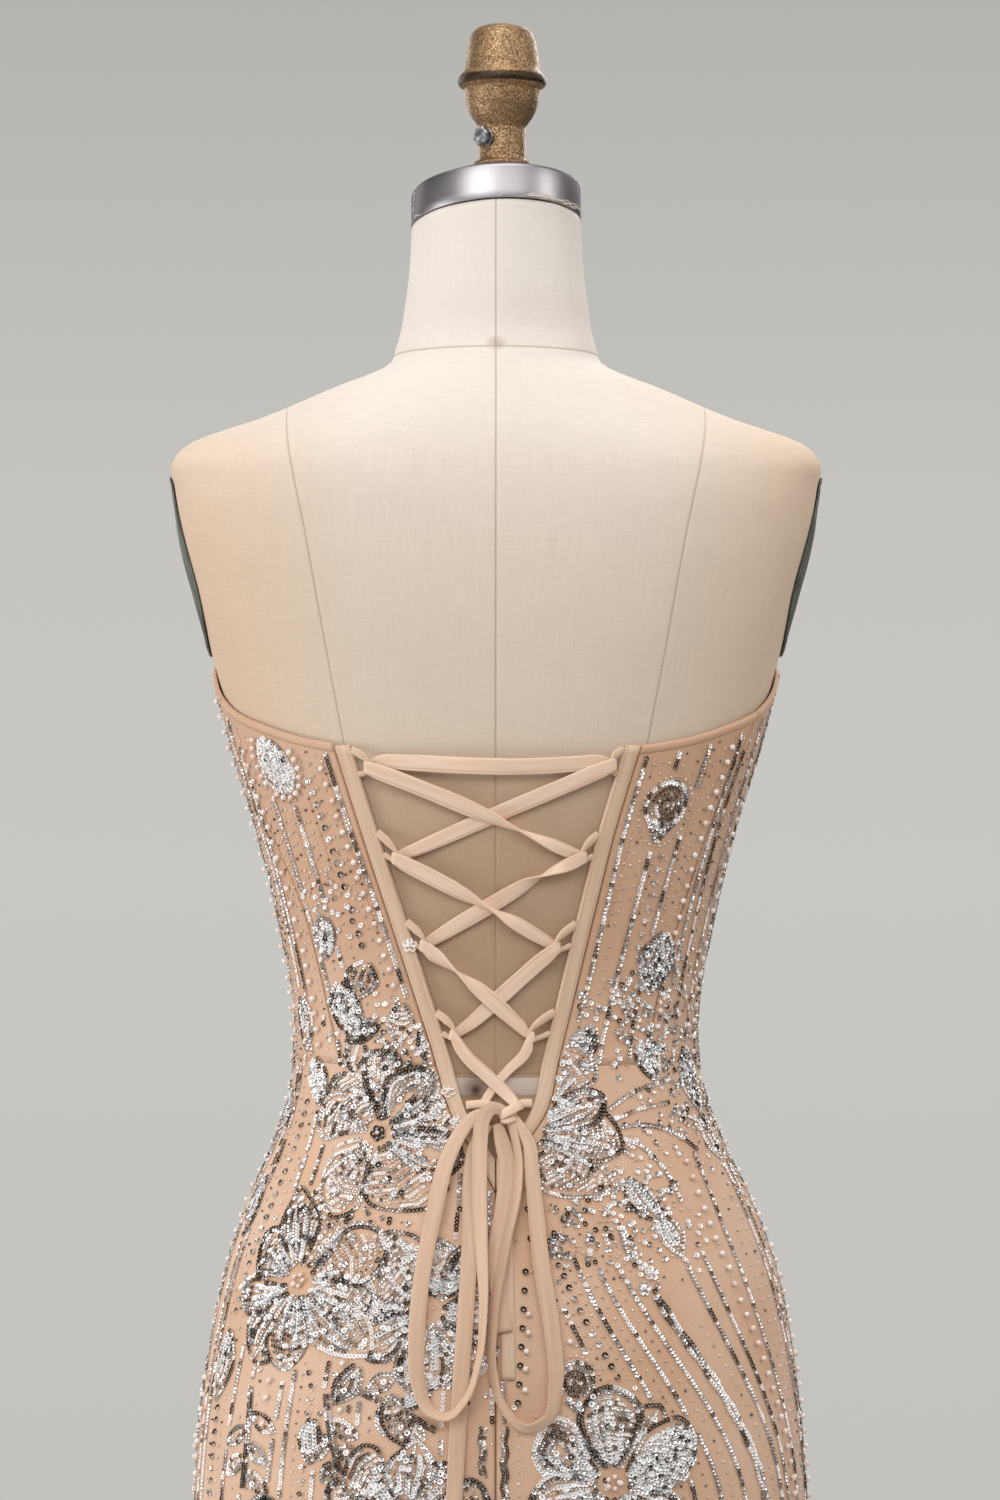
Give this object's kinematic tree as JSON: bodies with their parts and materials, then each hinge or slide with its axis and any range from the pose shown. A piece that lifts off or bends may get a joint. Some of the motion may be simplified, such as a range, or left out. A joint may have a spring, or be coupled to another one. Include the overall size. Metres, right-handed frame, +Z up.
{
  "type": "strapless bodycon dress on a limbless dress form",
  "caption": "Short strapless fitted dress in beaded nude tulle with an open laced V back and a tied bow, worn by a limbless linen dress form on a round-based stand.",
  "frame": {"origin": "on the floor, at the middle of the underside of the round base", "axes": "+Z up; the laced back of the dress faces -Y; +X is to the right of someone who looks at that back"},
  "size_m": [0.44, 0.44, 1.6571],
  "materials": {
    "beaded_tulle": "nude tulle over a nude lining, sewn with silver sequins, pearls and glass beads",
    "satin_binding": "nude satin-backed tulle, folded and stitched",
    "lace_ribbon": "soft crepe tube, pressed flat",
    "linen": "unbleached linen, matte",
    "brushed_steel": "brushed round",
    "cast_bronze": "rough casting, bronze paint rubbed thin",
    "zinc_plate": "zinc plated",
    "grey_plastic": "dull grey",
    "painted_iron": "satin grey paint"
  },
  "bodies": {
    "root": {"bodice_back_left": "beaded_tulle", "bodice_back_right": "beaded_tulle", "bodice_side_left": "beaded_tulle", "bodice_side_right": "beaded_tulle", "bodice_front_side_left": "beaded_tulle", "bodice_front_side_right": "beaded_tulle", "bodice_front_centre": "beaded_tulle", "skirt_back_left": "beaded_tulle", "skirt_back_right": "beaded_tulle", "skirt_front": "beaded_tulle", "v_binding_left": "satin_binding", "v_binding_right": "satin_binding", "zip_flap": "satin_binding", "loop_left_1": "satin_binding", "loop_left_2": "satin_binding", "loop_left_3": "satin_binding", "loop_left_4": "satin_binding", "loop_right_1": "satin_binding", "loop_right_2": "satin_binding", "loop_right_3": "satin_binding", "loop_right_4": "satin_binding", "lace_top_bar": "lace_ribbon", "lace_cross_1_over": "lace_ribbon", "lace_cross_1_under": "lace_ribbon", "lace_cross_2_over": "lace_ribbon", "lace_cross_2_under": "lace_ribbon", "lace_cross_3_over": "lace_ribbon", "lace_cross_3_under": "lace_ribbon", "lace_cross_4_over": "lace_ribbon", "lace_cross_4_under": "lace_ribbon", "lace_lead_left": "lace_ribbon", "lace_lead_right": "lace_ribbon", "bow_knot": "lace_ribbon", "bow_loop_left": "lace_ribbon", "bow_loop_right": "lace_ribbon", "bow_tail_long": "lace_ribbon", "bow_tail_short": "lace_ribbon", "form_torso": "linen", "neck_cap": "brushed_steel", "pole": "brushed_steel", "pole_flange": "brushed_steel", "finial": "cast_bronze", "set_screw_head": "zinc_plate", "set_screw_washer": "zinc_plate", "arm_plate_left": "grey_plastic", "arm_plate_right": "grey_plastic", "pole_collar": "painted_iron", "base_plate": "painted_iron"}
  },
  "joints": []
}
